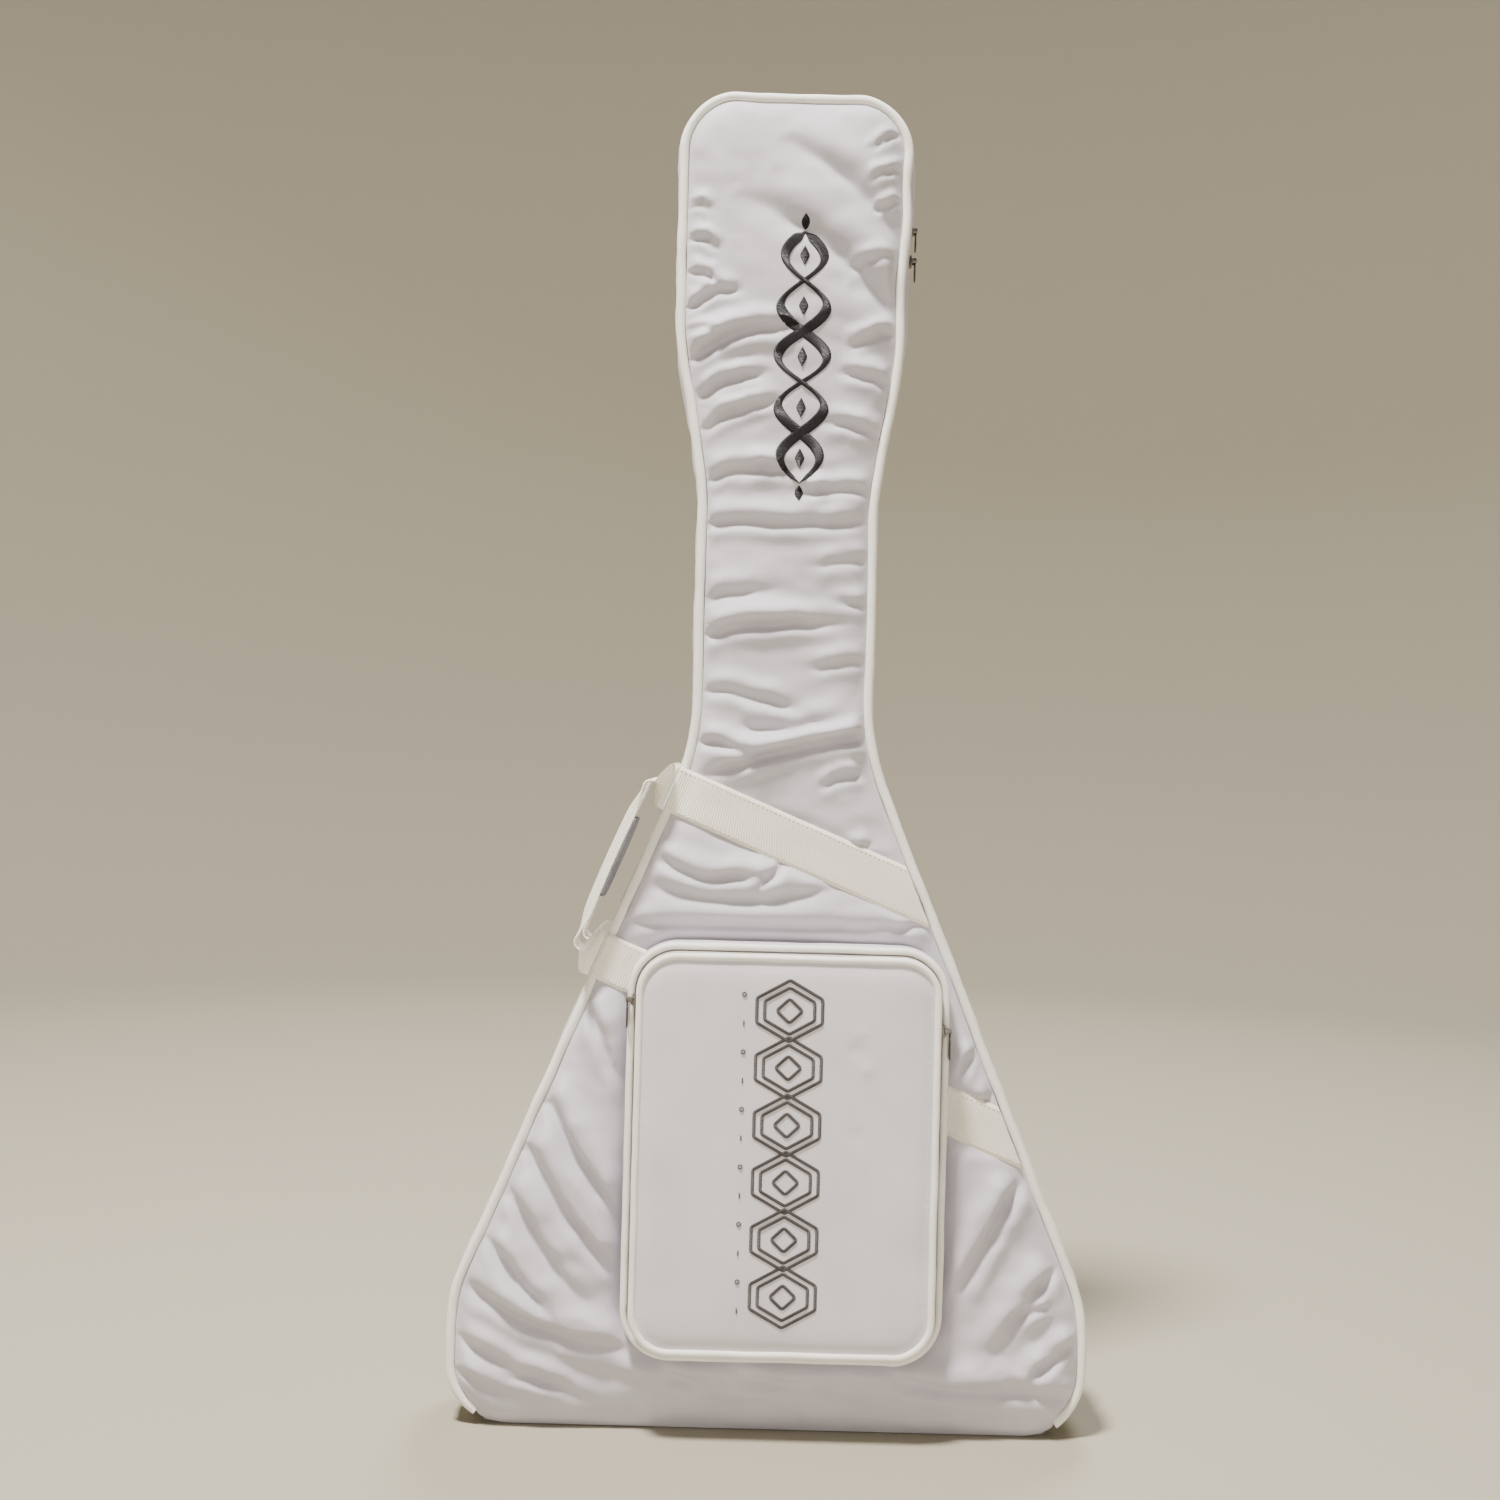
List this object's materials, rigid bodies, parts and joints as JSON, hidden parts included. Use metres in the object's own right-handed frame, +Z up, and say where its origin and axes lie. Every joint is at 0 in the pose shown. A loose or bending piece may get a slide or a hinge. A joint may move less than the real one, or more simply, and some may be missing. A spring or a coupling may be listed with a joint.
{
  "type": "padded gig bag",
  "caption": "Padded nylon gig bag for a V-shaped guitar: zip-round front that folds down, zipped front pocket, side carry handles and shoulder straps.",
  "frame": {"origin": "middle of the flat base, on the surface that the bag stands on", "axes": "+Z up the bag from its base to its head, +Y out of its back with the shoulder straps, so the pocket faces -Y; +X to the right as seen from the front"},
  "size_m": [0.5468, 0.1677, 1.14],
  "materials": {
    "white_nylon": "padded woven nylon, faint satin sheen, soft wrinkles",
    "plush_lining": "brushed grey plush",
    "cream_piping": "woven tape over a round cord",
    "cream_webbing": "ribbed woven webbing",
    "zip_tape": "woven zip tape with coil teeth",
    "zip_metal": "dark gunmetal enamel",
    "black_web": "black webbing and touch fastener",
    "black_plastic": "moulded satin black",
    "grip_wrap": "padded grey fabric wrap"
  },
  "bodies": {
    "back_shell": {"back_band_lower": "cream_webbing", "back_band_upper": "cream_webbing", "back_gusset": "white_nylon", "back_lining": "plush_lining", "back_panel": "white_nylon", "back_piping": "cream_piping", "back_zip_tape": "zip_tape", "base_pad": "plush_lining", "base_panel": "white_nylon", "hang_loop_patch": "cream_webbing", "head_pad": "plush_lining", "neck_cradle": "plush_lining", "neck_strap": "black_web", "neck_strap_patch": "black_web", "strap_anchor_left": "white_nylon", "strap_anchor_right": "white_nylon", "strap_yoke": "white_nylon", "zip_end_tab_left": "cream_piping", "zip_end_tab_right": "cream_piping"},
    "front_flap": {"front_panel": "white_nylon", "front_lining": "plush_lining", "front_gusset": "white_nylon", "front_zip_tape": "zip_tape", "front_piping": "cream_piping", "front_band_upper": "cream_webbing", "front_band_lower": "cream_webbing", "pocket_gusset": "white_nylon", "pocket_outer_piping": "cream_piping", "pocket_rear_zip_tape": "zip_tape"},
    "pocket_flap": {"pocket_panel": "white_nylon", "pocket_lining": "plush_lining", "pocket_inner_piping": "cream_piping", "pocket_front_zip_tape": "zip_tape"},
    "front_handle": {"front_handle": "cream_webbing"},
    "rear_handle": {"rear_handle": "cream_webbing", "handle_grip": "grip_wrap"},
    "strap_left": {"shoulder_strap_left": "white_nylon", "ladder_lock_left": "black_plastic", "strap_webbing_left": "cream_webbing"},
    "strap_right": {"shoulder_strap_right": "white_nylon", "ladder_lock_right": "black_plastic", "strap_webbing_right": "cream_webbing"},
    "hang_loop": {"hang_loop": "cream_webbing"},
    "main_upper_slider": {"main_upper_slider": "zip_metal"},
    "main_upper_pull": {"main_upper_pull": "zip_metal"},
    "main_lower_slider": {"main_lower_slider": "zip_metal"},
    "main_lower_pull": {"main_lower_pull": "zip_metal"},
    "pocket_left_slider": {"pocket_left_slider": "zip_metal"},
    "pocket_left_pull": {"pocket_left_pull": "zip_metal"},
    "pocket_right_slider": {"pocket_right_slider": "zip_metal"},
    "pocket_right_pull": {"pocket_right_pull": "zip_metal"}
  },
  "joints": [
    {"name": "front_flap_open", "type": "hinge", "parent": "back_shell", "child": "front_flap", "pos_m": [0, -0.038, 0.008], "axis": [1, 0, 0], "range_deg": [0, 170]},
    {"name": "pocket_open", "type": "hinge", "parent": "front_flap", "child": "pocket_flap", "pos_m": [0.011, -0.0765, 0.0755], "axis": [1, 0, 0], "range_deg": [0, 100]},
    {"name": "front_handle_swing", "type": "hinge", "parent": "front_flap", "child": "front_handle", "pos_m": [-0.12188, -0.0394, 0.47468], "axis": [0.3828, 0, 0.9239], "range_deg": [-30, 30]},
    {"name": "rear_handle_swing", "type": "hinge", "parent": "back_shell", "child": "rear_handle", "pos_m": [-0.12188, 0.0394, 0.47468], "axis": [0.3828, 0, 0.9239], "range_deg": [-30, 30]},
    {"name": "strap_left_swing", "type": "hinge", "parent": "back_shell", "child": "strap_left", "pos_m": [-0.04, 0.049, 0.6], "axis": [0, 0.0093, 1], "range_deg": [-12, 12]},
    {"name": "strap_right_swing", "type": "hinge", "parent": "back_shell", "child": "strap_right", "pos_m": [0.04, 0.049, 0.6], "axis": [0, 0.0093, 1], "range_deg": [-12, 12]},
    {"name": "hang_loop_swing", "type": "hinge", "parent": "back_shell", "child": "hang_loop", "pos_m": [0, 0.0465, 1.075], "axis": [1, 0, 0], "range_deg": [0, 170]},
    {"name": "main_upper_slide", "type": "slide", "parent": "back_shell", "child": "main_upper_slider", "axis": [0, 0, 1], "range_m": [0, 0.045]},
    {"name": "main_lower_slide", "type": "slide", "parent": "back_shell", "child": "main_lower_slider", "axis": [0, 0, 1], "range_m": [-0.045, 0]},
    {"name": "pocket_left_slide", "type": "slide", "parent": "front_flap", "child": "pocket_left_slider", "axis": [0, 0, 1], "range_m": [-0.24, 0]},
    {"name": "pocket_right_slide", "type": "slide", "parent": "front_flap", "child": "pocket_right_slider", "axis": [0, 0, 1], "range_m": [-0.22, 0.02]},
    {"name": "main_upper_pull_swing", "type": "hinge", "parent": "main_upper_slider", "child": "main_upper_pull", "pos_m": [0.1055, 0, 1.035], "axis": [0, -1, 0], "range_deg": [0, 150]},
    {"name": "main_lower_pull_swing", "type": "hinge", "parent": "main_lower_slider", "child": "main_lower_pull", "pos_m": [0.1055, 0, 1.009], "axis": [0, -1, 0], "range_deg": [0, 150]},
    {"name": "pocket_left_pull_swing", "type": "hinge", "parent": "pocket_left_slider", "child": "pocket_left_pull", "pos_m": [-0.12366, -0.0674, 0.37], "axis": [0, 1, 0], "range_deg": [0, 150]},
    {"name": "pocket_right_pull_swing", "type": "hinge", "parent": "pocket_right_slider", "child": "pocket_right_pull", "pos_m": [0.14566, -0.0674, 0.35], "axis": [0, -1, 0], "range_deg": [0, 150]}
  ]
}
